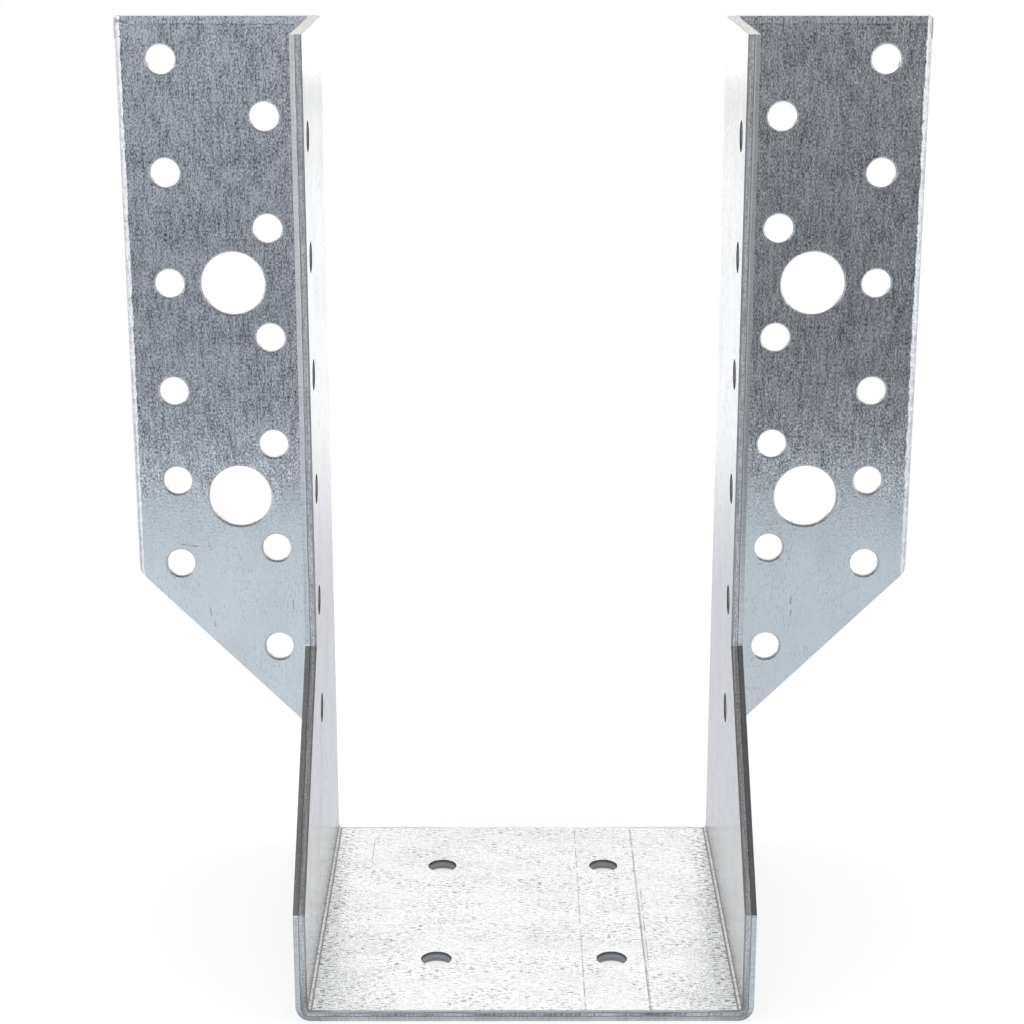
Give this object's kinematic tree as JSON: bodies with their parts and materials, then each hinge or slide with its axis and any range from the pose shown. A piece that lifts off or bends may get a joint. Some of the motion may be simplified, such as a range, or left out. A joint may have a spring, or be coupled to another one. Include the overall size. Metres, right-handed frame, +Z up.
{
  "type": "beam hanger",
  "caption": "Folded sheet-steel hanger: a U-shaped pocket with a flat seat holds the end of a timber joist, and punched wings turned outwards fix it to a header.",
  "frame": {"origin": "centre of the bounding box, on the level of the seat's underside", "axes": "+X across the joist, to the right for someone who looks from the joist at the header; +Y from the joist to the header, square to the wings; +Z up, along the folds of the wings"},
  "size_m": [0.144, 0.075, 0.156],
  "materials": {
    "galvanised_steel": "hot-dip galvanised sheet, satin, with sheared and punched edges"
  },
  "bodies": {
    "root": {"hanger": "galvanised_steel"}
  },
  "joints": []
}
